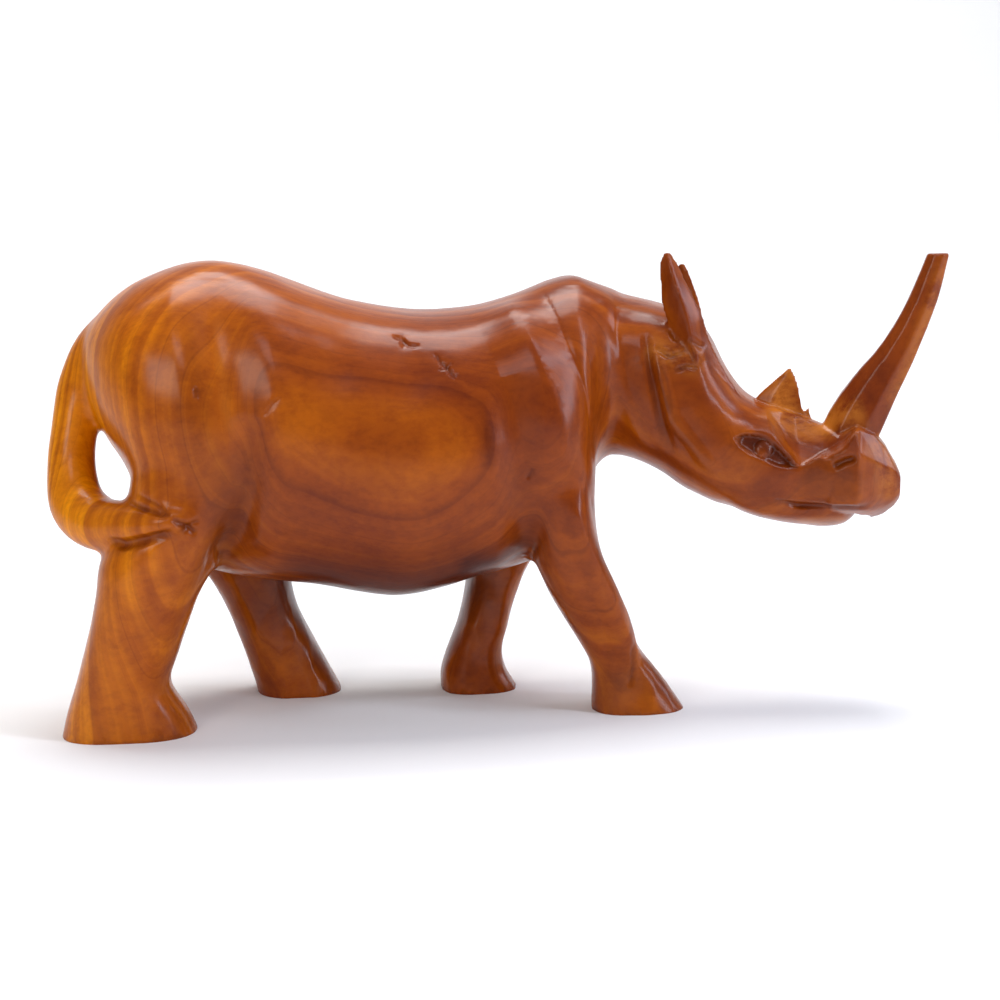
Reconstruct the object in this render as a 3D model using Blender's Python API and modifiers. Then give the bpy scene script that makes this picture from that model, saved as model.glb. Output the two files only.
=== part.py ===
"""Rhinoceros figurine carved from one piece of wood, standing on its four feet.

The head looks along +X and turns a little towards -Y, the animal's right side.
The shape is drawn in carving units, 287 to the whole length, and scaled at the end.
"""
import math

import bmesh
import bpy
import numpy as np

# Overall sizes in metres
LENGTH = 0.287
HEIGHT = 0.149
WIDTH = 0.092

# Proportions in carving units, where the figure is 287 long, 149 high and 92 wide
BELLY_HALF = 46.0
HIP_HALF = 42.0
SHOULDER_HALF = 39.0
NECK_HALF = 26.0
HEAD_HALF = 23.0
SNOUT_HALF = 17.5
TAIL_HALF = 8.0
EAR_RISE = 29.0
EAR_THICK = 6.0
HORN_RISE = 55.4
HORN_THICK = 14.0
SMALL_HORN_RISE = 13.0
HEAD_TURN = math.radians(18.0)
GROOVE_DEPTH = 2.2

# Mesh fineness
GRAIN = 1.0
TRIANGLES = 8000

for old in list(bpy.data.objects):
    bpy.data.objects.remove(old, do_unlink=True)

figure = bpy.data.collections.new("rhinoceros_figurine")
tools = bpy.data.collections.new("cutters")
bpy.context.scene.collection.children.link(figure)
bpy.context.scene.collection.children.link(tools)


def curve_rows(rows, steps):
    """Rows between the stations, on a smooth curve through every station."""
    rows = np.array(rows, float)
    ends = np.vstack([2 * rows[0] - rows[1], rows, 2 * rows[-1] - rows[-2]])
    out = []
    for i in range(1, len(rows)):
        a, b, c, d = ends[i - 1:i + 3]
        for k in range(steps):
            t = k / steps
            bend = (2 * a - 5 * b + 4 * c - d) * t * t
            out.append(0.5 * (2 * b + (c - a) * t + bend + (3 * b - a - 3 * c + d) * t ** 3))
    out.append(rows[-1])
    return np.array(out)


def skin(name, rings, collection):
    """A closed object through rings that all have the same number of points."""
    sides = len(rings[0])
    points = [tuple(p) for ring in rings for p in ring]
    faces = []
    for i in range(len(rings) - 1):
        for k in range(sides):
            a = i * sides + k
            b = i * sides + (k + 1) % sides
            faces.append((a, b, b + sides, a + sides))
    faces.append(tuple(range(sides)))
    faces.append(tuple(range(len(points) - sides, len(points))))
    mesh = bpy.data.meshes.new(name)
    mesh.from_pydata(points, [], faces)
    bm = bmesh.new()
    bm.from_mesh(mesh)
    bmesh.ops.recalc_face_normals(bm, faces=bm.faces)
    bm.to_mesh(mesh)
    bm.free()
    obj = bpy.data.objects.new(name, mesh)
    collection.objects.link(obj)
    return obj


def outline(sides, power):
    """Unit section: a rounded box, rounder for a low power and squarer for a high one."""
    pairs = []
    for k in range(sides):
        angle = 2 * math.pi * (k + 0.5) / sides
        c = math.cos(angle)
        s = math.sin(angle)
        pairs.append((math.copysign(abs(c) ** (2 / power), c), math.copysign(abs(s) ** (2 / power), s)))
    return pairs


def loft(name, axis, rows, power=2.3, sides=32, steps=4, collection=tools):
    """Skin through stations: place on the axis, then low and high of both other ways."""
    unit = outline(sides, power)
    rings = []
    for at, u0, u1, v0, v1 in curve_rows(rows, steps):
        ring = []
        for c, s in unit:
            u = (u0 + u1) / 2 + (u1 - u0) / 2 * c
            v = (v0 + v1) / 2 + (v1 - v0) / 2 * s
            ring.append((at, u, v) if axis == "X" else (u, v, at))
        rings.append(ring)
    return skin(name, rings, collection)


def rope(name, rows, sides=20, steps=5, collection=tools):
    """A round bar along a curve: each row is a point and the radius there."""
    path = curve_rows(rows, steps)
    rings = []
    for i, (x, y, z, radius) in enumerate(path):
        ahead = path[min(i + 1, len(path) - 1)][:3]
        behind = path[max(i - 1, 0)][:3]
        along = (ahead - behind) / np.linalg.norm(ahead - behind)
        across = np.cross(along, (0.0, 1.0, 0.0))
        across /= np.linalg.norm(across)
        other = np.cross(along, across)
        rings.append([np.array((x, y, z)) + radius * (across * c + other * s)
                      for c, s in outline(sides, 2.0)])
    return skin(name, rings, collection)


def ball(name, centre, radii, collection=tools):
    """An ellipsoid, used as a gouge."""
    bm = bmesh.new()
    bmesh.ops.create_icosphere(bm, subdivisions=4, radius=1.0)
    for vert in bm.verts:
        vert.co = [centre[i] + radii[i] * vert.co[i] for i in range(3)]
    mesh = bpy.data.meshes.new(name)
    bm.to_mesh(mesh)
    bm.free()
    obj = bpy.data.objects.new(name, mesh)
    collection.objects.link(obj)
    return obj


def settle(obj):
    """Bake the modifiers into the object's mesh."""
    graph = bpy.context.evaluated_depsgraph_get()
    obj.data = bpy.data.meshes.new_from_object(obj.evaluated_get(graph))
    obj.modifiers.clear()


def gather(name, parts):
    """Every part as one mesh in one object, and the parts removed."""
    bm = bmesh.new()
    for part in parts:
        bm.from_mesh(part.data)
        bpy.data.objects.remove(part, do_unlink=True)
    mesh = bpy.data.meshes.new(name)
    bm.to_mesh(mesh)
    bm.free()
    obj = bpy.data.objects.new(name, mesh)
    figure.objects.link(obj)
    return obj


def combine(obj, other, operation):
    """Join a closed part to the carving, or cut it away."""
    other.display_type = "WIRE"
    other.hide_render = True
    bpy.context.view_layer.update()
    mod = obj.modifiers.new(operation.lower(), "BOOLEAN")
    mod.operation = operation
    mod.solver = "EXACT"
    mod.object = other
    settle(obj)
    bpy.data.objects.remove(other, do_unlink=True)


# Trunk from the rump to the front of the neck: place, half width twice, underside, back line
TRUNK = [
    (-136, 0.28, 106, 127),
    (-131, 0.54, 93, 133),
    (-124.5, 0.74, 82, 138.6),
    (-117, 0.87, 64, 143),
    (-106, 0.94, 52, 146.7),
    (-94, 0.96, 47, 148),
    (-80, 0.96, 44.5, 144.8),
    (-66, 0.97, 42.5, 139.5),
    (-52, 0.99, 39.5, 134.8),
    (-38, 1.0, 37.8, 131.9),
    (-24, 0.99, 40, 131),
    (-10, 0.95, 44, 132.2),
    (3, 0.90, 47, 136),
    (14, 0.86, 51, 140),
    (21, 0.81, 58, 141.5),
    (27, 0.70, 76.5, 139.7),
    (36, 0.58, 84, 136),
]
trunk = loft("trunk", "X", [(x, -BELLY_HALF * w, BELLY_HALF * w, lo, hi) for x, w, lo, hi in TRUNK],
             power=2.25, sides=40)

# Head straight ahead from inside the neck to the snout: place, half width, underside, top
HEAD = [
    (26, NECK_HALF + 2, 81.5, 137),
    (38, NECK_HALF, 82, 134.6),
    (50, NECK_HALF, 77.6, 131.8),
    (58, NECK_HALF - 0.2, 72.6, 129.4),
    (63, NECK_HALF - 0.6, 70, 126),
    (67, HEAD_HALF + 2.2, 68, 120.4),
    (70, HEAD_HALF + 1.6, 66.6, 114),
    (74, HEAD_HALF + 0.8, 65.4, 107.3),
    (78, HEAD_HALF + 0.2, 64.4, 102.4),
    (84, HEAD_HALF - 1, 63.2, 99.4),
    (90, HEAD_HALF - 2.2, 62, 98),
    (98, SNOUT_HALF, 62.8, 95),
    (106, SNOUT_HALF - 0.4, 64, 91.5),
    (113, SNOUT_HALF - 1.2, 66, 88),
]
head = loft("head", "X", [(x, -w, w, lo, hi) for x, w, lo, hi in HEAD], power=2.6, sides=40)

# Lower jaw, a little narrower than the muzzle so that the mouth shows as a step
JAW = [
    (72, HEAD_HALF - 6, 67.5, 77),
    (79, HEAD_HALF - 2.6, 63.8, 75),
    (88, SNOUT_HALF + 1.4, 60.9, 71),
    (98, SNOUT_HALF - 0.6, 58.8, 69),
    (106, SNOUT_HALF - 2.5, 57.6, 68),
    (111.5, SNOUT_HALF - 5, 58.8, 67),
    (115, SNOUT_HALF - 9, 61.8, 66),
]
jaw = loft("jaw", "X", [(x, -w, w, lo, hi) for x, w, lo, hi in JAW], power=2.4, sides=24)

# Legs from below the floor line up into the trunk: height, rear, front, right, left
LEGS = {
    "hind_right": [
        (-4, -148.5, -104, -37, -5),
        (0, -147.3, -105, -36.8, -5.5),
        (7, -145.5, -108, -36.6, -7),
        (16, -142.3, -112.6, -36.8, -8),
        (26, -139.3, -109.8, -38, -8.5),
        (36, -136.6, -106.2, -39.5, -8),
        (46, -134.6, -102, -41, -7),
        (57, -132.6, -94.6, -HIP_HALF, -5),
        (70, -125, -87, -HIP_HALF, -3),
        (90, -121, -85, -HIP_HALF + 0.5, 0),
        (110, -118, -88, -HIP_HALF + 5, 0),
        (126, -112, -92, -HIP_HALF + 16, 0),
    ],
    "hind_left": [
        (-4, -85.5, -56, 9, 39),
        (0, -85.6, -57, 9.5, 38.6),
        (8, -87.6, -61, 9.8, 37),
        (18, -90.8, -66, 9.5, 36),
        (29, -94.8, -71.2, 9, 37),
        (39, -100, -73.5, 8, 38.5),
        (54, -109, -76, 5, HIP_HALF - 1),
        (74, -118, -80, 3, HIP_HALF),
        (95, -118, -86, 0, HIP_HALF - 1),
    ],
    "fore_right": [
        (-4, 24, 56.5, -31.5, -6),
        (0, 24, 54.4, -31, -6.5),
        (7, 24, 49.6, -30, -8),
        (15, 23.4, 43.2, -29.5, -9.5),
        (23, 19.7, 37.8, -31, -10.5),
        (32, 14.4, 35, -34, -11),
        (42, 8.5, 31, -37, -11),
        (55, 3.5, 26.2, -SHOULDER_HALF + 0.5, -9),
        (72, 0, 25.5, -SHOULDER_HALF, -5),
        (90, -3, 27, -SHOULDER_HALF + 1, 0),
        (114, 0, 28, -SHOULDER_HALF + 8, 0),
    ],
    "fore_left": [
        (-4, -22.5, 4.5, 3.5, 31),
        (0, -22.8, 3.2, 4, 30.5),
        (6, -22.6, -0.2, 5, 29.5),
        (13, -20.2, -1.6, 6, 28.5),
        (22, -16.5, 0.4, 6.5, 29.5),
        (32, -13.8, 4, 7, 32),
        (43, -11.8, 9, 7, 35.5),
        (58, -10, 18, 5, SHOULDER_HALF - 1),
        (76, -8, 24, 3, SHOULDER_HALF),
        (96, -4, 28, 0, SHOULDER_HALF - 2),
    ],
}
legs = [loft(name, "Z", rows, power=2.6, sides=28) for name, rows in LEGS.items()]

# Tail down the rump, round below a hole and back to the right thigh: point and share of the thickness
TAIL = [
    (-116, 0, 129, 1.3),
    (-130, 0, 121, 1.2),
    (-137.3, -1, 109, 1.06),
    (-140.8, -4, 96, 0.94),
    (-142, -8, 83, 0.98),
    (-140, -13.5, 72.3, 1.12),
    (-133.3, -21, 67.4, 1.1),
    (-125, -29.5, 68, 0.92),
    (-117, -37, 69, 0.7),
    (-109.5, -40.5, 70.4, 0.56),
    (-103, -40, 71.5, 0.35),
]
tail = rope("tail", [(x, y, z, TAIL_HALF * r) for x, y, z, r in TAIL])


def one_skin(obj, grain):
    """Melt everything that touches into one closed skin of even small faces."""
    remesh = obj.modifiers.new("one_skin", "REMESH")
    remesh.mode = "VOXEL"
    remesh.voxel_size = grain
    settle(obj)


body = gather("rhinoceros", [trunk, head, jaw, tail] + legs)
one_skin(body, GRAIN * 1.25)


def soften(obj, spots, passes):
    """Smooth the skin, fully at the named spots and lightly elsewhere."""
    places = np.empty(len(obj.data.vertices) * 3)
    obj.data.vertices.foreach_get("co", places)
    places = places.reshape(-1, 3)
    weight = np.zeros(len(places))
    for centre, reach in spots:
        far = np.linalg.norm((places - np.array(centre)) / np.array(reach), axis=1)
        weight = np.maximum(weight, np.clip(1.6 - 1.6 * far, 0, 1))
    group = obj.vertex_groups.new(name="junctions")
    for index, value in enumerate(weight):
        if value > 0.02:
            group.add([index], float(value), "REPLACE")
    joints = obj.modifiers.new("soften_junctions", "SMOOTH")
    joints.factor = 0.6
    joints.iterations = passes
    joints.vertex_group = "junctions"
    overall = obj.modifiers.new("soften_all", "SMOOTH")
    overall.factor = 0.5
    overall.iterations = 2
    settle(obj)
    obj.vertex_groups.clear()


# Where the carver rounded one form into the next: centre and reach
JUNCTIONS = [
    ((-102, -20, 56), (30, 34, 28)),
    ((-116, -30, 98), (24, 30, 26)),
    ((-92, 24, 52), (40, 34, 30)),
    ((14, -26, 62), (34, 34, 34)),
    ((2, 24, 52), (36, 34, 30)),
    ((36, 0, 110), (22, 60, 36)),
    ((-134, 0, 116), (26, 30, 26)),
    ((-100, 0, 104), (46, 70, 52)),
    ((10, 0, 100), (30, 70, 50)),
    ((70, 0, 108), (22, 34, 14)),
]
soften(body, JUNCTIONS, 14)

# Chiselled block of the nose: place, then share of the snout's half width and height
# of the edge on top, the edge of the flank, the low edge of the flank and the edge below
NOSE = [
    (98, 0.34, 84, 0.57, 82, 0.57, 70, 0.34, 68),
    (107, 0.52, 87.5, 0.95, 84.3, 0.95, 68, 0.68, 65.5),
    (110.8, 0.68, 90.3, 0.98, 86.2, 0.98, 68, 0.74, 65),
    (114.8, 0.86, 92.6, 1.0, 91.4, 1.0, 68, 0.74, 64.6),
    (116, 0.71, 92.2, 0.97, 84.9, 0.97, 67.6, 0.71, 64),
    (120.5, 0.43, 90, 0.72, 82.3, 0.72, 66, 0.54, 62),
    (124, 0.27, 86, 0.51, 80.2, 0.51, 66.4, 0.4, 63),
    (127.4, 0.18, 79.8, 0.35, 78.3, 0.35, 69, 0.26, 66.2),
    (128.8, 0.15, 76.5, 0.26, 75.5, 0.26, 71, 0.17, 69),
]
rings = []
for x, *edges in NOSE:
    near = [(x, -SNOUT_HALF * edges[i], edges[i + 1]) for i in (0, 2, 4, 6)]
    rings.append(near + [(x, -y, z) for _, y, z in reversed(near)])
combine(body, skin("nose", rings, tools), "UNION")

# Scoops chiselled beside the bridge, from the brow edge to the nose block: sideways place,
# then the points of the scoop in the side view from the brow round to the nose
SCOOP = [
    (2.5, (84, 106), (90, 100.5), (94.5, 97.6), (103, 95), (107, 97), (110, 99), (112, 112), (82, 112)),
    (10, (81.2, 104.2), (90, 93.8), (95.5, 88.3), (105.5, 85.4), (110.3, 88.4), (114.6, 92.6),
     (117, 112), (78, 112)),
    (18.5, (78.5, 106.2), (88, 93), (97.2, 80.1), (105, 82.8), (110.6, 86.1), (114.6, 91.8),
     (117, 112), (74, 112)),
    (30, (74, 109), (85.5, 92), (98.8, 69.5), (104.2, 79.5), (111, 83), (114.6, 90.8),
     (117, 112), (70, 112)),
]

# Pockets behind the ears, down to the ledge above the cheeks: points in the side view
POCKET = [(50.5, 152), (51.5, 136), (53.2, 131), (54.8, 126), (56.3, 122), (58.6, 121), (61.8, 119.8),
          (64.2, 118.2), (68, 124), (66, 138), (60, 152)]

# Ears as blades with a raised edge: height as a share of their rise above the nape, rear edge,
# raised edge, front edge, share of the thickness, sideways place of the front edge and of the inside
EAR = [
    (-0.69, 60, 66, 79, 1.0, 8, 2),
    (-0.41, 58.5, 65.2, 74.3, 1.0, 10, 4),
    (-0.14, 57.3, 64.6, 70.2, 1.0, 12.5, 7),
    (0.07, 56, 63, 67.6, 1.0, 14, 10.5),
    (0.28, 54.3, 61.7, 65.8, 1.0, 15.5, 13.5),
    (0.48, 52.8, 59.8, 63.5, 0.95, 16.3, 16),
    (0.69, 52.4, 57.6, 60.6, 0.9, 16.5, 17),
    (0.86, 52.2, 56, 58.2, 0.75, 16.5, 17),
    (1.0, 53.4, 55, 55.9, 0.5, 16.8, 17),
]
NAPE = 120.0
EAR_INSET = 17.0
for side, share, low_shift, tip_shift in ((-1, 1.0, 0.0, 0.0), (1, 0.84, -2.3, 1.3)):
    rings = [[(x, side * y, z) for x, z in points] for y, *points in SCOOP]
    combine(body, skin("scoop", rings, tools), "DIFFERENCE")
    rings = [[(x, side * y, z - fall) for x, z in POCKET] for y, fall in ((18.5, 0), (45, 4))]
    combine(body, skin("pocket", rings, tools), "DIFFERENCE")
    rings = []
    for h, rear, ridge, front, thick, front_place, inside in curve_rows(EAR, 3):
        z = NAPE + EAR_RISE * (h if h < 0 else h * share)
        shift = low_shift + (tip_shift - low_shift) * min(max((h - 0.28) / 0.72, 0.0), 1.0)
        outer = EAR_INSET + EAR_THICK * thick
        rings.append([(rear + shift, side * (EAR_INSET + 1.5), z), (ridge + shift, side * outer, z),
                      (front + shift, side * front_place, z), (ridge + shift, side * inside, z)])
    combine(body, skin("ear", rings, tools), "UNION")
combine(body, ball("lip_notch", (118, 0, 61), (2.6, 20, 3.2)), "DIFFERENCE")

# Front horn: share of its rise above the snout, rear and front edge, share of the thickness
HORN = [
    (-0.15, 105, 120, 1.15),
    (0.0, 102.8, 123.8, 1.1),
    (0.28, 112.4, 130.3, 0.88),
    (0.50, 122.4, 135.2, 0.70),
    (0.74, 129.6, 139.6, 0.58),
    (1.0, 135.6, 142.8, 0.46),
]
rows = [(92 + HORN_RISE * h, rear, front, -HORN_THICK * t / 2, HORN_THICK * t / 2)
        for h, rear, front, t in HORN]
combine(body, loft("horn", "Z", rows, power=2.0, sides=8, steps=3), "UNION")

# Small second horn, a thin leaf with a splinter before it
LEAF = [
    (-0.6, 82, 99, 6.0),
    (0.0, 80.5, 98, 5.0),
    (0.3, 82.2, 97.2, 4.2),
    (0.62, 86.6, 96.2, 3.0),
    (1.0, 92.4, 93.4, 1.0),
]
rows = [(98 + SMALL_HORN_RISE * h, rear, front, -t / 2, t / 2) for h, rear, front, t in LEAF]
combine(body, loft("leaf", "Z", rows, power=1.5, sides=8, steps=2), "UNION")
rows = [(90, 94, 100.4, -1.6, 1.6), (94.6, 96.4, 100.2, -1.2, 1.2), (98, 98.6, 99.6, -0.5, 0.5)]
combine(body, loft("splinter", "Z", rows, power=2.0, sides=6, steps=1), "UNION")
one_skin(body, GRAIN)


def near_line(places, line, half):
    """How near every place is to a bent line in the side view, fading out at its ends."""
    nearest = np.full(len(places), 1e9)
    run = np.zeros(len(places))
    flat = places[:, (0, 2)]
    whole = sum(math.dist(a, b) for a, b in zip(line[:-1], line[1:]))
    done = 0.0
    for start, end in zip(line[:-1], line[1:]):
        a = np.array(start, float)
        way = np.array(end, float) - a
        t = np.clip(((flat - a) @ way) / (way @ way), 0, 1)
        far = np.linalg.norm(flat - a - t[:, None] * way, axis=1)
        closer = far < nearest
        nearest = np.where(closer, far, nearest)
        run = np.where(closer, done + t * np.linalg.norm(way), run)
        done += np.linalg.norm(way)
    near = np.clip(1 - nearest / half, 0, 1)
    ends = np.clip(np.minimum(run, whole - run) / (0.25 * whole), 0, 1)
    return near * near * (3 - 2 * near) * np.sqrt(ends)


# Lines cut or raised on both flanks: points in the side view, half width, share of the depth
LINES = [
    ([(4, 146), (8, 126), (12, 98), (19, 67), (25, 45), (33, 22)], 5.0, 0.75),
    ([(12, 142), (20, 114), (23, 95), (26, 80)], 5.0, -1.0),
    ([(35, 140), (46, 109), (56, 87), (63, 74)], 3.6, -0.8),
    ([(47.8, 124), (51, 109), (54.2, 93.5), (57.5, 85)], 2.8, -0.7),
    ([(50.5, 121.5), (54.3, 108), (57.2, 96.5), (62.2, 90.2), (67, 84), (72, 79)], 3.2, 0.5),
    ([(-88, 104), (-88, 76), (-91, 62), (-99, 50)], 7.0, -0.5),
    ([(-1, 80), (1, 62), (3, 48)], 6.0, -0.6),
    ([(107.3, 80.8), (111.6, 83), (115, 83.8)], 1.8, -0.8),
    ([(90, 69.8), (96.7, 68), (106.2, 67.5), (115.5, 67.8)], 1.8, -0.75),
]

# Eye: its two corners in the side view, then the lids as shares along it and heights off that line
EYE = ((76.1, 90.5), (97.3, 80.2))
UPPER_LID = ((0, 0.1, 0.29, 0.44, 0.69, 1), (0, 2.4, 4.0, 4.3, 2.6, 0))
LOWER_LID = ((0, 0.15, 0.31, 0.5, 0.7, 0.86, 1), (0, -1.9, -2.8, -2.65, -2.5, -1.4, 0))
EYEBALL = (0.45, 1.5, 3.1)


def eye_height(places):
    """How far the skin rises or sinks at each place for the lids and the eyeball."""
    start = np.array(EYE[0])
    way = np.array(EYE[1]) - start
    long = np.linalg.norm(way)
    way /= long
    flat = places[:, (0, 2)] - start
    along = flat @ way / long
    rise = flat @ np.array([-way[1], way[0]])
    inside = (along > 0) & (along < 1)
    top = np.interp(along, *UPPER_LID)
    low = np.interp(along, *LOWER_LID)
    share = (rise - low) / np.maximum(top - low, 0.3)
    depth = np.interp(share, (0, 0.3, 0.8, 0.97, 1.1), (0, 0.75, 1, 1, 0))
    depth *= np.clip(np.minimum(along, 1 - along) * 7, 0, 1)
    move = -GROOVE_DEPTH * 0.95 * depth
    away = np.hypot((along - EYEBALL[0]) * long, rise - EYEBALL[1]) / EYEBALL[2]
    move += GROOVE_DEPTH * 0.65 * np.sqrt(np.clip(1 - away * away, 0, 1))
    lid = np.interp(share, (1.08, 1.2, 1.5), (0, 1, 0)) * np.clip(np.minimum(along, 1 - along) * 7, 0, 1)
    move += GROOVE_DEPTH * 0.2 * lid
    return np.where(inside, move, 0)


def carve(mesh):
    """Move the skin in or out along the carved lines and in the almond of each eye."""
    count = len(mesh.vertices)
    places = np.empty(count * 3)
    facing = np.empty(count * 3)
    mesh.vertices.foreach_get("co", places)
    mesh.vertices.foreach_get("normal", facing)
    places = places.reshape(-1, 3)
    facing = facing.reshape(-1, 3)
    sideways = np.clip((np.abs(facing[:, 1]) - 0.15) / 0.3, 0, 1)
    outer = np.clip((places[:, 1] * np.sign(facing[:, 1]) - 3) / 4, 0, 1)
    move = np.zeros(count)
    for line, half, share in LINES:
        move += GROOVE_DEPTH * share * near_line(places, line, half)
    move += eye_height(places)
    places += facing * (move * sideways * outer)[:, None]
    mesh.vertices.foreach_set("co", places.ravel())
    mesh.update()


carve(body.data)


def turn_head(mesh, start=16.0, end=52.0, pivot=32.0):
    """Swing the neck and head towards the right side about an upright line."""
    for vert in mesh.vertices:
        share = min(max((vert.co.x - start) / (end - start), 0.0), 1.0)
        share = share * share * (3 - 2 * share)
        above = min(max((vert.co.z - 46) / 26, 0.0), 1.0)
        share *= above * above * (3 - 2 * above)
        c = math.cos(HEAD_TURN)
        s = math.sin(HEAD_TURN)
        x = vert.co.x - pivot
        y = vert.co.y
        vert.co.x = pivot + x + share * (x * c + y * s - x)
        vert.co.y = y + share * (y * c - x * s - y)
    mesh.update()


turn_head(body.data)

# Fewer faces, with the head kept finer than the plain trunk
plain = body.vertex_groups.new(name="plain")
for vert in body.data.vertices:
    plain.add([vert.index], 0.35 if vert.co.x > 55 and vert.co.z > 50 else 1.0, "REPLACE")
thin = body.modifiers.new("fewer_faces", "DECIMATE")
thin.vertex_group = "plain"
thin.vertex_group_factor = 1.0
thin.ratio = TRIANGLES / max(1, sum(len(p.vertices) - 2 for p in body.data.polygons))
thin.use_collapse_triangulate = True
settle(body)
body.vertex_groups.clear()


def drop_crumbs(bm):
    """Keep the largest connected piece of the skin."""
    left = set(bm.verts)
    pieces = []
    while left:
        front = [left.pop()]
        piece = list(front)
        while front:
            vert = front.pop()
            for edge in vert.link_edges:
                other = edge.other_vert(vert)
                if other in left:
                    left.remove(other)
                    front.append(other)
                    piece.append(other)
        pieces.append(piece)
    pieces.sort(key=len)
    for piece in pieces[:-1]:
        bmesh.ops.delete(bm, geom=piece, context="VERTS")


def finish(obj):
    """Flat soles on the floor, true size, centred over the base."""
    bm = bmesh.new()
    bm.from_mesh(obj.data)
    drop_crumbs(bm)
    whole = list(bm.verts) + list(bm.edges) + list(bm.faces)
    cut = bmesh.ops.bisect_plane(bm, geom=whole, plane_co=(0, 0, 0), plane_no=(0, 0, 1), clear_inner=True)
    rim = [e for e in cut["geom_cut"] if isinstance(e, bmesh.types.BMEdge)]
    bmesh.ops.holes_fill(bm, edges=rim, sides=0)
    bmesh.ops.triangulate(bm, faces=[f for f in bm.faces if len(f.verts) > 3])
    size = (LENGTH / 287, WIDTH / 92, HEIGHT / 149)
    for vert in bm.verts:
        vert.co = [vert.co[i] * size[i] for i in range(3)]
    for axis in (0, 1):
        low = min(v.co[axis] for v in bm.verts)
        high = max(v.co[axis] for v in bm.verts)
        for vert in bm.verts:
            vert.co[axis] -= (low + high) / 2
    bmesh.ops.recalc_face_normals(bm, faces=bm.faces)
    bm.to_mesh(obj.data)
    bm.free()


finish(body)

wood = bpy.data.materials.new("carved_hardwood")
wood.use_nodes = True
shader = wood.node_tree.nodes["Principled BSDF"]
shader.inputs["Base Color"].default_value = (0.34, 0.095, 0.022, 1.0)
shader.inputs["Roughness"].default_value = 0.35
body.data.materials.clear()
body.data.materials.append(wood)
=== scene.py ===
"""Rhinoceros figurine carved from one block of glossy hardwood, as a finished visual model.

The carving is drawn in units of about a millimetre, 287 to the whole length, with the head
along +X and turned towards -Y, the animal's right side.
"""
import math

import bmesh
import bpy
import numpy as np
from mathutils import Matrix, Vector, noise


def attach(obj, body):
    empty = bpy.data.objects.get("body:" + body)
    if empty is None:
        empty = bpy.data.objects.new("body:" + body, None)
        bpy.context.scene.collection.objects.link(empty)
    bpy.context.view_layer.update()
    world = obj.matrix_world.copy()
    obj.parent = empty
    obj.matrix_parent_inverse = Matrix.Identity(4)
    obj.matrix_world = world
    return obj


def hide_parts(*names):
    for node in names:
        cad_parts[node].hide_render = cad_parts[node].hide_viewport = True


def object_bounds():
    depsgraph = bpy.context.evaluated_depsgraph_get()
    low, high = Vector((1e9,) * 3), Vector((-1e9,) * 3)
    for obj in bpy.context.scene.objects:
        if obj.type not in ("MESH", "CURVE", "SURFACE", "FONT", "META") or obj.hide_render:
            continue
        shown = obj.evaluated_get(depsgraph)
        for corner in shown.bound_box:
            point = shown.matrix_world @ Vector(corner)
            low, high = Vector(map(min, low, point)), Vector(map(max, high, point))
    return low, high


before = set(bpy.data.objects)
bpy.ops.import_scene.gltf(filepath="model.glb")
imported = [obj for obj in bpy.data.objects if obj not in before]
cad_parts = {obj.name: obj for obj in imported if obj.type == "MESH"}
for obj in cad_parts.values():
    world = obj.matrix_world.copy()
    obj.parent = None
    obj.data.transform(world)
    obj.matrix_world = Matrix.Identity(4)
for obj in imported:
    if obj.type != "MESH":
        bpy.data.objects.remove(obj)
cad_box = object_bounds()

# Proportions in carving units
BELLY_HALF = 46.0
HIP_HALF = 42.0
SHOULDER_HALF = 39.0
NECK_HALF = 26.0
HEAD_HALF = 23.0
SNOUT_HALF = 17.5
TAIL_HALF = 8.0
NAPE = 120.0
EAR_RISE = 29.0
EAR_THICK = 6.0
EAR_INSET = 17.0
HORN_FOOT = 92.0
HORN_RISE = 55.4
HORN_THICK = 14.0
SMALL_HORN_FOOT = 98.0
SMALL_HORN_RISE = 13.0
HEAD_TURN = math.radians(18.0)
GROOVE_DEPTH = 2.2

# Grain of the rough block and of the finished skin, in carving units, and the most triangles kept
COARSE = 1.25
FINE = 0.64
TRIANGLES = 190000

# Tool marks: size of a scallop across and along, and how strong they are on the plain wood,
# inside the far legs, at the front foot and on the neck and head
SCALLOP = (6.5, 11.0)
TOOLED_PLAIN = 0.16
TOOLED_FAR_LEGS = 1.3
TOOLED_FOOT = 0.7
TOOLED_CROWN = 0.25

# Slow unevenness of the skin: size of a swelling across and along, and its height
SWELL = (17.0, 23.0)
SWELL_HEIGHT = 0.42

# Depth of a cut that is painted fully dark, with dirt and painted shade, and how much more dirt and
# painted shade a crack is given
FULL_DIRT_AND_SHADE = 1.6
CRACK_DIRT_AND_SHADE = 1.7

# Camera at the right flank, a little above it: azimuth, elevation, roll, distance, target, focal length
CAM_AZIMUTH = math.radians(-7.0)
CAM_ELEVATION = math.radians(9.0)
CAM_ROLL = math.radians(0.7)
CAM_DISTANCE = 0.62
CAM_TARGET = Vector((0.0027, 0.0, 0.0675))
CAM_LENS = 66.96

back = Vector((math.sin(CAM_AZIMUTH) * math.cos(CAM_ELEVATION),
               -math.cos(CAM_AZIMUTH) * math.cos(CAM_ELEVATION), math.sin(CAM_ELEVATION)))
right = (-back).cross(Vector((0, 0, 1))).normalized()
up = back.cross(right)
right_rolled = right * math.cos(CAM_ROLL) - up * math.sin(CAM_ROLL)
up_rolled = up * math.cos(CAM_ROLL) + right * math.sin(CAM_ROLL)
turn = Matrix((right_rolled, up_rolled, back)).transposed().to_4x4()
camera_data = bpy.data.cameras.new("camera")
camera_data.lens = CAM_LENS
camera_data.sensor_width = 36.0
camera_data.clip_start = 0.01
camera = bpy.data.objects.new("camera", camera_data)
bpy.context.scene.collection.objects.link(camera)
camera.matrix_world = Matrix.Translation(CAM_TARGET + back * CAM_DISTANCE) @ turn
bpy.context.scene.camera = camera

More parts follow.
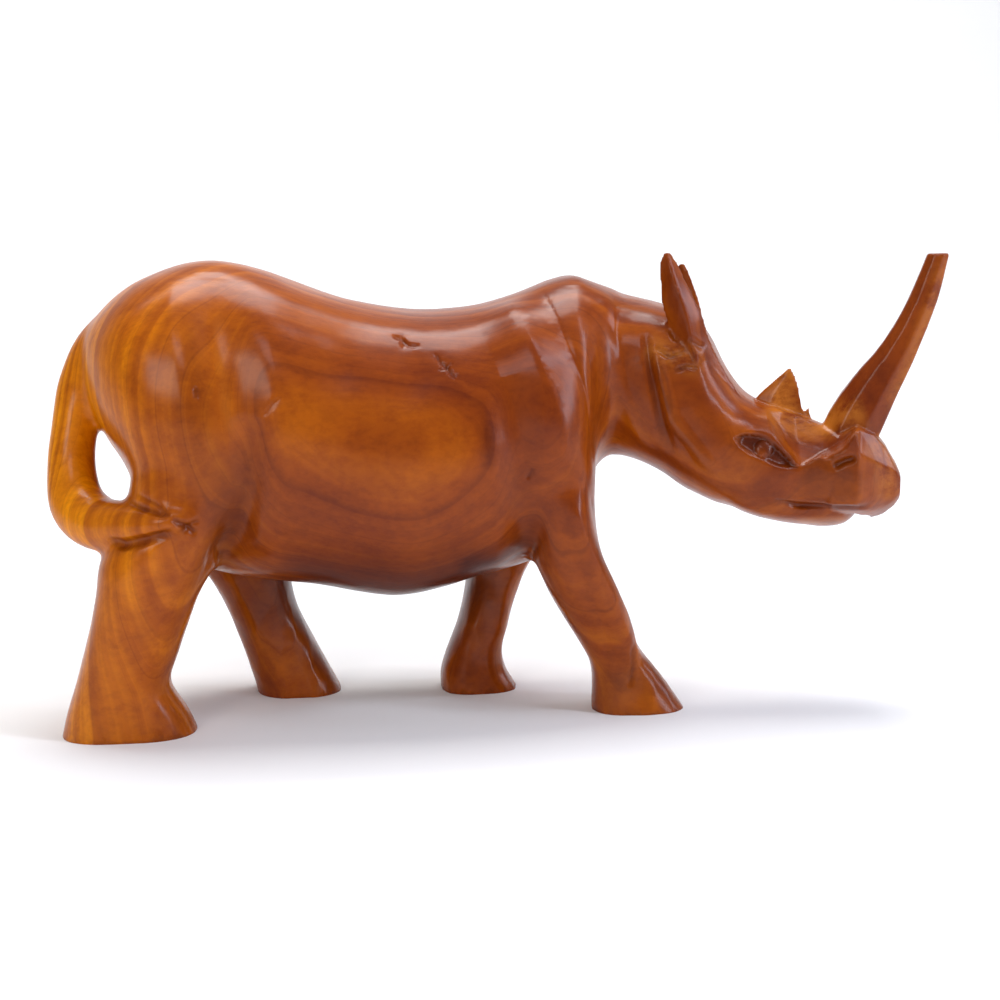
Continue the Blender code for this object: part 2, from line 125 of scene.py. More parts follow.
shop = bpy.data.collections.new("workbench")
bpy.context.scene.collection.children.link(shop)


def curve_rows(rows, steps):
    """Rows between the stations, on a smooth curve through every station."""
    rows = np.array(rows, float)
    ends = np.vstack([2 * rows[0] - rows[1], rows, 2 * rows[-1] - rows[-2]])
    out = []
    for i in range(1, len(rows)):
        a, b, c, d = ends[i - 1:i + 3]
        for k in range(steps):
            t = k / steps
            bend = (2 * a - 5 * b + 4 * c - d) * t * t
            out.append(0.5 * (2 * b + (c - a) * t + bend + (3 * b - a - 3 * c + d) * t ** 3))
    out.append(rows[-1])
    return np.array(out)


def skin(name, rings):
    """A closed object through rings that all have the same number of points."""
    sides = len(rings[0])
    points = [tuple(p) for ring in rings for p in ring]
    faces = []
    for i in range(len(rings) - 1):
        for k in range(sides):
            a = i * sides + k
            b = i * sides + (k + 1) % sides
            faces.append((a, b, b + sides, a + sides))
    faces.append(tuple(range(sides)))
    faces.append(tuple(range(len(points) - sides, len(points))))
    mesh = bpy.data.meshes.new(name)
    mesh.from_pydata(points, [], faces)
    bm = bmesh.new()
    bm.from_mesh(mesh)
    bmesh.ops.recalc_face_normals(bm, faces=bm.faces)
    bm.to_mesh(mesh)
    bm.free()
    obj = bpy.data.objects.new(name, mesh)
    shop.objects.link(obj)
    return obj


def outline(sides, power):
    """Unit section: a rounded box, rounder for a low power and squarer for a high one."""
    pairs = []
    for k in range(sides):
        angle = 2 * math.pi * (k + 0.5) / sides
        c = math.cos(angle)
        s = math.sin(angle)
        pairs.append((math.copysign(abs(c) ** (2 / power), c), math.copysign(abs(s) ** (2 / power), s)))
    return pairs


def loft(name, axis, rows, power, sides, steps):
    """Skin through stations: place on the axis, then low and high of both other ways."""
    unit = outline(sides, power)
    rings = []
    for at, u0, u1, v0, v1 in curve_rows(rows, steps):
        ring = []
        for c, s in unit:
            u = (u0 + u1) / 2 + (u1 - u0) / 2 * c
            v = (v0 + v1) / 2 + (v1 - v0) / 2 * s
            ring.append((at, u, v) if axis == "X" else (u, v, at))
        rings.append(ring)
    return skin(name, rings)


def rope(name, rows, sides=28, steps=6):
    """A round bar along a curve: each row is a point and the radius there."""
    path = curve_rows(rows, steps)
    rings = []
    for i, (x, y, z, radius) in enumerate(path):
        ahead = path[min(i + 1, len(path) - 1)][:3]
        behind = path[max(i - 1, 0)][:3]
        along = (ahead - behind) / np.linalg.norm(ahead - behind)
        across = np.cross(along, (0.0, 1.0, 0.0))
        across /= np.linalg.norm(across)
        other = np.cross(along, across)
        rings.append([np.array((x, y, z)) + radius * (across * c + other * s)
                      for c, s in outline(sides, 2.0)])
    return skin(name, rings)


def ball(name, centre, radii):
    """An ellipsoid, used as a gouge."""
    bm = bmesh.new()
    bmesh.ops.create_icosphere(bm, subdivisions=4, radius=1.0)
    for vert in bm.verts:
        vert.co = [centre[i] + radii[i] * vert.co[i] for i in range(3)]
    mesh = bpy.data.meshes.new(name)
    bm.to_mesh(mesh)
    bm.free()
    obj = bpy.data.objects.new(name, mesh)
    shop.objects.link(obj)
    return obj


def settle(obj):
    """Bake the modifiers into the object's mesh."""
    graph = bpy.context.evaluated_depsgraph_get()
    obj.data = bpy.data.meshes.new_from_object(obj.evaluated_get(graph))
    obj.modifiers.clear()


def gather(name, parts):
    """Every part as one mesh in one object, and the parts removed."""
    bm = bmesh.new()
    for part in parts:
        bm.from_mesh(part.data)
        bpy.data.objects.remove(part, do_unlink=True)
    mesh = bpy.data.meshes.new(name)
    bm.to_mesh(mesh)
    bm.free()
    obj = bpy.data.objects.new(name, mesh)
    bpy.context.scene.collection.objects.link(obj)
    return obj


def combine(obj, other, operation):
    """Join a closed part to the carving, or cut it away."""
    bpy.context.view_layer.update()
    mod = obj.modifiers.new(operation.lower(), "BOOLEAN")
    mod.operation = operation
    mod.solver = "EXACT"
    mod.object = other
    settle(obj)
    bpy.data.objects.remove(other, do_unlink=True)


def one_skin(obj, grain):
    """Melt everything that touches into one closed skin of even small faces."""
    remesh = obj.modifiers.new("one_skin", "REMESH")
    remesh.mode = "VOXEL"
    remesh.voxel_size = grain
    settle(obj)


def read(mesh, what):
    """The mesh's places or normals as rows."""
    out = np.empty(len(mesh.vertices) * 3)
    mesh.vertices.foreach_get(what, out)
    return out.reshape(-1, 3)


# Trunk from the rump to the front of the neck: place, half width twice, underside, back line
TRUNK = [
    (-136, 0.28, 106, 127),
    (-131, 0.54, 93, 133),
    (-124.5, 0.74, 82, 138.6),
    (-117, 0.87, 64, 143),
    (-106, 0.94, 52, 146.7),
    (-94, 0.96, 47, 148),
    (-80, 0.96, 44.5, 144.8),
    (-66, 0.97, 42.5, 139.5),
    (-52, 0.99, 39.5, 134.8),
    (-38, 1.0, 37.8, 131.9),
    (-24, 0.99, 40, 131),
    (-10, 0.95, 44, 132.2),
    (3, 0.90, 47, 136),
    (14, 0.86, 51, 140),
    (21, 0.81, 58, 141.5),
    (27, 0.70, 76.5, 139.7),
    (36, 0.58, 84, 136),
]
trunk = loft("trunk", "X", [(x, -BELLY_HALF * w, BELLY_HALF * w, lo, hi) for x, w, lo, hi in TRUNK],
             power=2.25, sides=80, steps=8)

# Head straight ahead from inside the neck to the snout: place, half width, underside, top
HEAD = [
    (26, NECK_HALF + 2, 81.5, 137),
    (38, NECK_HALF, 82, 134.6),
    (50, NECK_HALF, 77.6, 131.8),
    (58, NECK_HALF - 0.2, 72.6, 129.4),
    (63, NECK_HALF - 0.6, 70, 126),
    (67, HEAD_HALF + 2.2, 68, 120.4),
    (70, HEAD_HALF + 1.6, 66.6, 114),
    (74, HEAD_HALF + 0.8, 65.4, 107.3),
    (78, HEAD_HALF + 0.2, 64.4, 102.4),
    (84, HEAD_HALF - 1, 63.2, 99.4),
    (90, HEAD_HALF - 2.2, 62, 98),
    (98, SNOUT_HALF, 62.8, 95),
    (106, SNOUT_HALF - 0.4, 64, 91.5),
    (113, SNOUT_HALF - 1.2, 66, 88),
]
head = loft("head", "X", [(x, -w, w, lo, hi) for x, w, lo, hi in HEAD], power=2.6, sides=64, steps=6)

# Lower jaw, a little narrower than the muzzle so that the mouth shows as a step
JAW = [
    (72, HEAD_HALF - 6, 67.5, 77),
    (79, HEAD_HALF - 2.6, 63.8, 75),
    (88, SNOUT_HALF + 1.4, 60.9, 71),
    (98, SNOUT_HALF - 0.6, 58.8, 69),
    (106, SNOUT_HALF - 2.5, 57.6, 68),
    (111.5, SNOUT_HALF - 5, 58.8, 67),
    (115, SNOUT_HALF - 9, 61.8, 66),
]
jaw = loft("jaw", "X", [(x, -w, w, lo, hi) for x, w, lo, hi in JAW], power=2.4, sides=40, steps=6)

# Legs from below the floor line up into the trunk: height, rear, front, right, left
LEGS = {
    "hind_right": [
        (-4, -148.5, -104, -37, -5),
        (0, -147.3, -105, -36.8, -5.5),
        (7, -145.5, -108, -36.6, -7),
        (16, -142.3, -112.6, -36.8, -8),
        (26, -139.3, -109.8, -38, -8.5),
        (36, -136.6, -106.2, -39.5, -8),
        (46, -134.6, -102, -41, -7),
        (57, -132.6, -94.6, -HIP_HALF, -5),
        (70, -125, -87, -HIP_HALF, -3),
        (90, -121, -85, -HIP_HALF + 0.5, 0),
        (110, -118, -88, -HIP_HALF + 5, 0),
        (126, -112, -92, -HIP_HALF + 16, 0),
    ],
    "hind_left": [
        (-4, -85.5, -56, 9, 39),
        (0, -85.6, -57, 9.5, 38.6),
        (8, -87.6, -61, 9.8, 37),
        (18, -90.8, -66, 9.5, 36),
        (29, -94.8, -71.2, 9, 37),
        (39, -100, -73.5, 8, 38.5),
        (54, -109, -76, 5, HIP_HALF - 1),
        (74, -118, -80, 3, HIP_HALF),
        (95, -118, -86, 0, HIP_HALF - 1),
    ],
    "fore_right": [
        (-4, 24, 56.5, -31.5, -6),
        (0, 24, 54.4, -31, -6.5),
        (7, 24, 49.6, -30, -8),
        (15, 23.4, 43.2, -29.5, -9.5),
        (23, 19.7, 37.8, -31, -10.5),
        (32, 14.4, 35, -34, -11),
        (42, 8.5, 31, -37, -11),
        (55, 3.5, 26.2, -SHOULDER_HALF + 0.5, -9),
        (72, 0, 25.5, -SHOULDER_HALF, -5),
        (90, -3, 27, -SHOULDER_HALF + 1, 0),
        (114, 0, 28, -SHOULDER_HALF + 8, 0),
    ],
    "fore_left": [
        (-4, -22.5, 4.5, 3.5, 31),
        (0, -22.8, 3.2, 4, 30.5),
        (6, -22.6, -0.2, 5, 29.5),
        (13, -20.2, -1.6, 6, 28.5),
        (22, -16.5, 0.4, 6.5, 29.5),
        (32, -13.8, 4, 7, 32),
        (43, -11.8, 9, 7, 35.5),
        (58, -10, 18, 5, SHOULDER_HALF - 1),
        (76, -8, 24, 3, SHOULDER_HALF),
        (96, -4, 28, 0, SHOULDER_HALF - 2),
    ],
}
legs = [loft(name, "Z", rows, power=2.6, sides=48, steps=6) for name, rows in LEGS.items()]

# Tail down the rump, round below a hole and back to the right thigh: point and share of the thickness
TAIL = [
    (-116, 0, 129, 1.3),
    (-130, 0, 121, 1.2),
    (-137.3, -1, 109, 1.06),
    (-140.8, -4, 96, 0.94),
    (-142, -8, 83, 0.98),
    (-140, -13.5, 72.3, 1.12),
    (-133.3, -21, 67.4, 1.1),
    (-125, -29.5, 68, 0.92),
    (-117, -37, 69, 0.7),
    (-109.5, -40.5, 70.4, 0.56),
    (-103, -40, 71.5, 0.35),
]
tail = rope("tail", [(x, y, z, TAIL_HALF * r) for x, y, z, r in TAIL])

body = gather("carved_rhinoceros", [trunk, head, jaw, tail] + legs)
one_skin(body, COARSE)


def soften(obj, spots, passes, overall_passes):
    """Smooth the skin, fully at the named spots and lightly elsewhere."""
    places = read(obj.data, "co")
    weight = np.zeros(len(places))
    for centre, reach in spots:
        far = np.linalg.norm((places - np.array(centre)) / np.array(reach), axis=1)
        weight = np.maximum(weight, np.clip(1.6 - 1.6 * far, 0, 1))
    group = obj.vertex_groups.new(name="junctions")
    for index, value in enumerate(weight):
        if value > 0.02:
            group.add([index], float(value), "REPLACE")
    joints = obj.modifiers.new("soften_junctions", "SMOOTH")
    joints.factor = 0.6
    joints.iterations = passes
    joints.vertex_group = "junctions"
    overall = obj.modifiers.new("soften_all", "SMOOTH")
    overall.factor = 0.5
    overall.iterations = overall_passes
    settle(obj)
    obj.vertex_groups.clear()


# Where the carver rounded one form into the next: centre and reach
JUNCTIONS = [
    ((-102, -20, 56), (30, 34, 28)),
    ((-116, -30, 98), (24, 30, 26)),
    ((-92, 24, 52), (40, 34, 30)),
    ((14, -26, 62), (34, 34, 34)),
    ((2, 24, 52), (36, 34, 30)),
    ((36, 0, 110), (22, 60, 36)),
    ((-134, 0, 116), (26, 30, 26)),
    ((-100, 0, 104), (46, 70, 52)),
    ((10, 0, 100), (30, 70, 50)),
    ((70, 0, 108), (22, 34, 14)),
]
soften(body, JUNCTIONS, 14, 2)

# Chiselled block of the nose: place, then share of the snout's half width and height
# of the edge on top, the edge of the flank, the low edge of the flank and the edge below
NOSE = [
    (98, 0.34, 84, 0.57, 82, 0.57, 70, 0.34, 68),
    (107, 0.52, 87.5, 0.95, 84.3, 0.95, 68, 0.68, 65.5),
    (110.8, 0.68, 90.3, 0.98, 86.2, 0.98, 68, 0.74, 65),
    (114.8, 0.86, 92.6, 1.0, 91.4, 1.0, 68, 0.74, 64.6),
    (116, 0.71, 92.2, 0.97, 84.9, 0.97, 67.6, 0.71, 64),
    (120.5, 0.43, 90, 0.72, 82.3, 0.72, 66, 0.54, 62),
    (124, 0.27, 86, 0.51, 80.2, 0.51, 66.4, 0.4, 63),
    (127.4, 0.18, 79.8, 0.35, 78.3, 0.35, 69, 0.26, 66.2),
    (128.8, 0.15, 76.5, 0.26, 75.5, 0.26, 71, 0.17, 69),
]
rings = []
for x, *edges in NOSE:
    near = [(x, -SNOUT_HALF * edges[i], edges[i + 1]) for i in (0, 2, 4, 6)]
    rings.append(near + [(x, -y, z) for _, y, z in reversed(near)])
combine(body, skin("nose", rings), "UNION")

# Scoops chiselled beside the bridge, from the brow edge to the nose block: sideways place,
# then the points of the scoop in the side view from the brow round to the nose
SCOOP = [
    (2.5, (84, 106), (90, 100.5), (94.5, 97.6), (103, 95), (107, 97), (110, 99), (112, 112), (82, 112)),
    (10, (81.2, 104.2), (90, 93.8), (95.5, 88.3), (105.5, 85.4), (110.3, 88.4), (114.6, 92.6),
     (117, 112), (78, 112)),
    (18.5, (78.5, 106.2), (88, 93), (97.2, 80.1), (105, 82.8), (110.6, 86.1), (114.6, 91.8),
     (117, 112), (74, 112)),
    (30, (74, 109), (85.5, 92), (98.8, 69.5), (104.2, 79.5), (111, 83), (114.6, 90.8),
     (117, 112), (70, 112)),
]

# Pockets behind the ears, down to the ledge above the cheeks: points in the side view
POCKET = [(50.5, 152), (51.5, 136), (53.2, 131), (54.8, 126), (56.3, 122), (58.6, 121), (61.8, 119.8),
          (64.2, 118.2), (68, 124), (66, 138), (60, 152)]

# Ears as blades with a raised edge: height as a share of their rise above the nape, rear edge,
# raised edge, front edge, share of the thickness, sideways place of the front edge and of the inside
EAR = [
    (-0.69, 60, 66, 79, 1.0, 8, 2),
    (-0.41, 58.5, 65.2, 74.3, 1.0, 10, 4),
    (-0.14, 57.3, 64.6, 70.2, 1.0, 12.5, 7),
    (0.07, 56, 63, 67.6, 1.0, 14, 10.5),
    (0.28, 54.3, 61.7, 65.8, 1.0, 15.5, 13.5),
    (0.48, 52.8, 59.8, 63.5, 0.95, 16.3, 16),
    (0.69, 52.4, 57.6, 60.6, 0.9, 16.5, 17),
    (0.86, 52.2, 56, 58.2, 0.75, 16.5, 17),
    (1.0, 53.4, 55, 55.9, 0.5, 16.8, 17),
]
for side, share, low_shift, tip_shift in ((-1, 1.0, 0.0, 0.0), (1, 0.84, -2.3, 1.3)):
    rings = [[(x, side * y, z) for x, z in points] for y, *points in SCOOP]
    combine(body, skin("scoop", rings), "DIFFERENCE")
    rings = [[(x, side * y, z - fall) for x, z in POCKET] for y, fall in ((18.5, 0), (45, 4))]
    combine(body, skin("pocket", rings), "DIFFERENCE")
    rings = []
    for h, rear, ridge, front, thick, front_place, inside in curve_rows(EAR, 6):
        z = NAPE + EAR_RISE * (h if h < 0 else h * share)
        shift = low_shift + (tip_shift - low_shift) * min(max((h - 0.28) / 0.72, 0.0), 1.0)
        outer = EAR_INSET + EAR_THICK * thick
        rings.append([(rear + shift, side * (EAR_INSET + 1.5), z), (ridge + shift, side * outer, z),
                      (front + shift, side * front_place, z), (ridge + shift, side * inside, z)])
    combine(body, skin("ear", rings), "UNION")
combine(body, ball("lip_notch", (118, 0, 61), (2.6, 20, 3.2)), "DIFFERENCE")

# Front horn: share of its rise above the snout, rear and front edge, share of the thickness
HORN = [
    (-0.15, 105, 120, 1.15),
    (0.0, 102.8, 123.8, 1.1),
    (0.28, 112.4, 130.3, 0.88),
    (0.50, 122.4, 135.2, 0.70),
    (0.74, 129.6, 139.6, 0.58),
    (1.0, 135.6, 142.8, 0.46),
]
rows = [(HORN_FOOT + HORN_RISE * h, rear, front, -HORN_THICK * t / 2, HORN_THICK * t / 2)
        for h, rear, front, t in HORN]
combine(body, loft("horn", "Z", rows, power=2.0, sides=8, steps=3), "UNION")

# Small second horn, a thin leaf with a splinter before it
LEAF = [
    (-0.6, 82, 99, 6.0),
    (0.0, 80.5, 98, 5.0),
    (0.3, 82.2, 97.2, 4.2),
    (0.62, 86.6, 96.2, 3.0),
    (1.0, 92.4, 93.4, 1.0),
]
rows = [(SMALL_HORN_FOOT + SMALL_HORN_RISE * h, rear, front, -t / 2, t / 2)
        for h, rear, front, t in LEAF]
combine(body, loft("leaf", "Z", rows, power=1.5, sides=8, steps=2), "UNION")
rows = [(90, 94, 100.4, -1.6, 1.6), (94.6, 96.4, 100.2, -1.2, 1.2), (98, 98.6, 99.6, -0.5, 0.5)]
combine(body, loft("splinter", "Z", rows, power=2.0, sides=6, steps=1), "UNION")
one_skin(body, FINE)

# Where the finished skin is rubbed smooth: the trunk, both ears and the forehead below them
RUBBED = [
    ((-60, 0, 80), (110, 80, 110)),
    ((58, -19, 138), (13, 9, 30)),
    ((58, 19, 134), (13, 9, 26)),
    ((70, -13, 112), (13, 12, 15)),
    ((70, 13, 112), (13, 12, 15)),
]
soften(body, RUBBED, 7, 1)


def follow(places, line, fade):
    """Distance to a bent line in the side view, its sign (plus to the front), and a fade at its ends."""
    nearest = np.full(len(places), 1e9)
    side = np.zeros(len(places))
    run = np.zeros(len(places))
    flat = places[:, (0, 2)]
    done = 0.0
    for start, end in zip(line[:-1], line[1:]):
        a = np.array(start, float)
        way = np.array(end, float) - a
        t = np.clip(((flat - a) @ way) / (way @ way), 0, 1)
        away = flat - a - t[:, None] * way
        far = np.linalg.norm(away, axis=1)
        closer = far < nearest
        nearest = np.where(closer, far, nearest)
        side = np.where(closer, np.sign(away[:, 0] * -way[1] + away[:, 1] * way[0]), side)
        run = np.where(closer, done + t * np.linalg.norm(way), run)
        done += np.linalg.norm(way)
    return nearest, side, np.clip(np.minimum(run, done - run) / (fade * done), 0, 1)


def near_line(places, line, half):
    """How near every place is to a bent line in the side view, fading out at its ends."""
    nearest, _, ends = follow(places, line, 0.25)
    near = np.clip(1 - nearest / half, 0, 1)
    return near * near * (3 - 2 * near) * ends * (2 - ends)


# Lines cut or raised on both flanks: points in the side view, half width, share of the depth
LINES = [
    ([(47.8, 124), (51, 109), (54.2, 93.5), (57.5, 85)], 2.6, -0.5),
    ([(50.5, 121.5), (54.3, 108), (57.2, 96.5), (62.2, 90.2), (67, 84), (72, 79)], 3.2, 0.5),
    ([(-97, 152), (-92, 120), (-89, 96), (-88, 72), (-95, 42)], 15.0, -1.5),
    ([(-86, 102), (-85.5, 80), (-89, 64), (-97, 52)], 6.5, -0.9),
    ([(-6, 112), (-3, 92), (-1, 72), (3, 40)], 10.0, -0.9),
    ([(107.3, 80.8), (111.6, 83), (115, 83.8)], 1.8, -0.8),
    ([(88, 70.3), (96.7, 68), (106.2, 67.5), (119.5, 67.9)], 1.4, -0.6),
]

# Widest line, by its half width, whose groove is still painted darker with dirt and painted shade
DIRT_AND_SHADE_HALF = 4.0

# Eye: its two corners in the side view, the lids as shares along it and heights off that line, the
# eyeball's place along, height and radius, and the shares of the depth for socket, eyeball and lid rim
EYE = ((76.1, 90.5), (97.3, 80.2))
UPPER_LID = ((0, 0.1, 0.29, 0.44, 0.69, 1), (0, 2.4, 4.0, 4.3, 2.6, 0))
LOWER_LID = ((0, 0.15, 0.31, 0.5, 0.7, 0.86, 1), (0, -1.9, -2.8, -2.65, -2.5, -1.4, 0))
EYEBALL = (0.45, 1.5, 3.1)
SOCKET_DEPTH = 0.95
EYEBALL_RISE = 0.65
LID_RISE = 0.1

# Folds with one sharp crease: points of the crease, then rise of the skin across it from left to right
FOLDS = [
    ([(7, 147), (8.6, 138.7), (14.9, 121), (20.2, 106.5), (22.6, 96), (24, 86), (25.5, 78)],
     (-24, -13, -11, 0, 1, 12, 22), (0, 2.0, 2.0, -1.4, -1.1, -0.8, 0)),
    ([(31, 144), (33, 125), (38, 109), (45, 92), (52, 80)],
     (-11, -1, 0.5, 3, 10), (0, 0.8, 0.7, 0.1, 0)),
    ([(12, 78), (19, 60), (27.5, 40), (34, 25), (38, 16)],
     (-11, -6, 0, 0.8, 8, 12), (0, 0.1, 1.9, 1.7, -0.9, 0)),
]

# Cracks, nicks and gouges in the right flank: points in the side view, half width and depth
MARKS = [
    ([(-40.2, 124.4), (-37.4, 123.6), (-35.2, 121.6), (-31.6, 121.2)], 0.95, 0.6),
    ([(-37.2, 125.2), (-36.4, 122.2), (-37.2, 120.6)], 0.8, 0.4),
    ([(-27.6, 119.2), (-25.8, 116.4), (-23.9, 115), (-21.6, 111.4)], 0.95, 0.6),
    ([(-26.8, 114.4), (-24.4, 114.6), (-22.2, 116.4)], 0.8, 0.35),
    ([(-100.8, 112), (-100.5, 107.6)], 1.4, 0.5),
    ([(2.5, 83.3), (0.9, 79.5)], 1.2, 0.6),
    ([(-80.7, 102), (-77.5, 105.8), (-75.1, 107.9)], 1.1, 0.3),
    ([(-109.4, 72), (-105.4, 69.2), (-101.8, 66.4)], 1.8, 1.2),
    ([(-106.5, 66.5), (-103.4, 69.6), (-100.6, 70.4)], 1.2, 0.7),
    ([(-129.5, 64.2), (-124.5, 63.2), (-116.2, 65.4), (-108.5, 67.6)], 2.6, 1.6),
    ([(-122.4, 75.6), (-116.6, 74.2), (-110, 72.6)], 1.6, 0.9),
    ([(-120, 78.6), (-114, 76), (-108, 71.5)], 1.2, 0.5),
    ([(51, 119), (56, 116.6), (61, 118)], 1.5, 0.9),
    ([(57.5, 112), (61.5, 113.5), (65.5, 112.6)], 1.4, 0.7),
    ([(62, 122), (66.5, 118.5)], 1.4, 0.6),
    ([(35, 24), (36.2, 17), (34.6, 9)], 1.6, 0.7),
]


def eye_height(places):
    """How far the skin rises or sinks at each place for the lids and the eyeball."""
    start = np.array(EYE[0])
    way = np.array(EYE[1]) - start
    long = np.linalg.norm(way)
    way /= long
    flat = places[:, (0, 2)] - start
    along = flat @ way / long
    rise = flat @ np.array([-way[1], way[0]])
    inside = (along > 0) & (along < 1)
    top = np.interp(along, *UPPER_LID)
    low = np.interp(along, *LOWER_LID)
    share = (rise - low) / np.maximum(top - low, 0.3)
    depth = np.interp(share, (0, 0.3, 0.8, 0.97, 1.1), (0, 0.75, 1, 1, 0))
    corners = np.clip(np.minimum(along, 1 - along) * 7, 0, 1)
    move = -GROOVE_DEPTH * SOCKET_DEPTH * (depth * corners)
    away = np.hypot((along - EYEBALL[0]) * long, rise - EYEBALL[1]) / EYEBALL[2]
    move += GROOVE_DEPTH * EYEBALL_RISE * np.sqrt(np.clip(1 - away * away, 0, 1))
    rim = np.interp(share, (1.08, 1.2, 1.5), (0, 1, 0)) * corners
    move += GROOVE_DEPTH * LID_RISE * rim
    return np.where(inside, move, 0)


def carve(mesh):
    """Carved lines, folds, eyes, cracks and tool marks, and the paint of each place: darker in hollows
    with dirt and painted shade, lighter on raised parts with rubbed wear and painted highlight.
    """
    places = read(mesh, "co")
    facing = read(mesh, "normal")
    sideways = np.clip((np.abs(facing[:, 1]) - 0.15) / 0.3, 0, 1)
    outer = np.clip((places[:, 1] * np.sign(facing[:, 1]) - 3) / 4, 0, 1)
    move = np.zeros(len(places))
    dirt_and_shade = np.zeros(len(places))
    for line, half, share in LINES:
        cut_here = GROOVE_DEPTH * share * near_line(places, line, half)
        move += cut_here
        dirt_and_shade += cut_here * (half < DIRT_AND_SHADE_HALF)
    for line, stations, heights in FOLDS:
        nearest, side, ends = follow(places, line, 0.16)
        move += np.interp(nearest * side, stations, heights) * ends
    eye = eye_height(places)
    move = (move + eye) * sideways * outer
    dirt_and_shade = (dirt_and_shade + eye) * sideways * outer
    right = np.clip(-facing[:, 1] * 3 - 0.3, 0, 1)
    right *= np.clip((-places[:, 1] - 10) / 4, 0, 1)
    for line, half, depth in MARKS:
        mark = right * depth * near_line(places, line, half)
        move -= mark
        dirt_and_shade -= CRACK_DIRT_AND_SHADE * mark
    # Tool marks show inside the far legs, at the front foot, and on the neck and head
    legs_low = np.clip((60 - places[:, 2]) / 20, 0, 1)
    inner = np.clip((places[:, 1] - 2) / 6, 0, 1) * np.clip(-facing[:, 1] * 2, 0, 1)
    foot = np.clip((20 - places[:, 2]) / 12, 0, 1) * (places[:, 0] > 15)
    crown = np.clip((places[:, 0] - 26) / 12, 0, 1)
    rough = (TOOLED_PLAIN + TOOLED_FAR_LEGS * legs_low * inner + TOOLED_FOOT * foot
             + TOOLED_CROWN * crown)
    scallops = np.empty(len(places))
    swell = np.empty(len(places))
    for i, p in enumerate(places):
        cell = Vector((p[0] / SCALLOP[0], p[1] / SCALLOP[0], p[2] / SCALLOP[1]))
        scallops[i] = noise.voronoi(cell)[0][0]
        swell[i] = noise.noise(Vector((p[0] / SWELL[0], p[1] / SWELL[0], p[2] / SWELL[1])))
    tooled = rough * 0.6 * (scallops * scallops - 0.25)
    move += tooled
    move += SWELL_HEIGHT * swell
    mesh.vertices.foreach_set("co", (places + facing * move[:, None]).ravel())
    mesh.update()
    # Hollows are painted darker, partly dirt and partly painted shade; raised places lighter, partly
    # rubbed wear and partly painted highlight
    return np.clip(-(dirt_and_shade + tooled) / FULL_DIRT_AND_SHADE, -1, 1)


# Stains, painted shade and bare wood: points in the side view, half width, plus for darker and minus for
# bare, and whether it shows on the right flank alone
STAINS_AND_SHADE = [
    # The first two rows are painted shade: the hollow between hip and belly, and the crease before the
    # thigh
    ([(-99.9, 140.7), (-102.5, 116.8), (-100.4, 95.6), (-93.7, 70.9), (-89.6, 58.3)], 10, 0.3, True),
    ([(-88.4, 95.3), (-88.1, 76.9), (-91, 63), (-98, 53.9), (-102.2, 46.3)], 10, 0.4, False),
    ([(-94.4, 137.6), (-93.1, 113.6), (-90.8, 95.3)], 4, -0.15, True),
    ([(-12.8, 99), (-12.4, 91.3), (-11.9, 84)], 3.2, 0.6, True),
    ([(-2.7, 88.1), (-0.4, 73.9), (3.3, 61.2), (2, 54.9)], 8, 0.2, False),
    # Painted shade: the underside of the belly darkened
    ([(-82, 49), (-59, 41), (-34, 38), (-5, 46)], 26, 1.0, False),
    ([(-22, 50), (-8, 52), (6, 58)], 9, 0.6, True),
    ([(31, 5), (46, 3)], 5, -0.3, True),
    ([(-20, 46), (-14, 26)], 5, -0.2, False),
    ([(48, 121), (56, 117), (68, 114)], 7, -0.35, False),
    ([(102, 93), (118, 98)], 8, -0.4, False),
    ([(120, 91), (125, 80), (126, 68)], 7, -0.35, False),
    ([(95, 61.5), (114, 61.5)], 3, -0.25, False),
    ([(86, 101), (96, 94), (108, 92)], 8, -0.5, False),
    ([(88, 98), (93, 113)], 9, -0.55, False),
    ([(124, 97), (131, 111), (137, 129), (142, 148)], 4.5, -0.3, False),
    # Painted shadow under the upper eyelid
    ([(77, 90), (84, 88.6), (91, 85), (96.5, 81)], 3.2, 0.55, False),
    ([(24, 12), (34, 9), (44, 8), (56, 6)], 16, 0.4, False),
    ([(98, 82), (107, 77), (118, 72)], 13, 0.3, False),
]


def stain_and_shade_map(mesh):
    """How much each place is darkened by stains and painted shade, or made bare."""
    places = read(mesh, "co")
    total = np.zeros(len(places))
    right = np.clip(-places[:, 1] / 10, 0, 1)
    for line, half, amount, one_flank in STAINS_AND_SHADE:
        total += amount * near_line(places, line, half) * (right if one_flank else 1.0)
    return np.clip(total, -1, 1)


stain_and_shade = stain_and_shade_map(body.data)
cut = carve(body.data)


def turn_head(mesh, start=16.0, end=52.0, pivot=32.0):
    """Swing the neck and head towards the right side about an upright line."""
    places = read(mesh, "co")
    share = np.clip((places[:, 0] - start) / (end - start), 0, 1)
    above = np.clip((places[:, 2] - 46) / 26, 0, 1)
    share = share * share * (3 - 2 * share) * above * above * (3 - 2 * above)
    c = math.cos(HEAD_TURN)
    s = math.sin(HEAD_TURN)
    x = places[:, 0] - pivot
    y = places[:, 1].copy()
    places[:, 0] = pivot + x + share * (x * c + y * s - x)
    places[:, 1] = y + share * (y * c - x * s - y)
    mesh.vertices.foreach_set("co", places.ravel())
    mesh.update()


turn_head(body.data)
# These attributes carry painted shade and painted highlight along with dirt, wear and stains
for title, values in (("cut", cut), ("stain_and_shade", stain_and_shade)):
    layer = body.data.attributes.new(title, "FLOAT", "POINT")
    layer.data.foreach_set("value", values.astype(np.float32))

# Fewer faces on the plain trunk, with the head kept finest
plain = body.vertex_groups.new(name="plain")
for vert in body.data.vertices:
    plain.add([vert.index], 0.3 if vert.co.x > 50 and vert.co.z > 50 else 1.0, "REPLACE")
thin = body.modifiers.new("fewer_faces", "DECIMATE")
thin.vertex_group = "plain"
thin.ratio = TRIANGLES / max(1, sum(len(p.vertices) - 2 for p in body.data.polygons))
thin.use_collapse_triangulate = True
settle(body)
body.vertex_groups.clear()


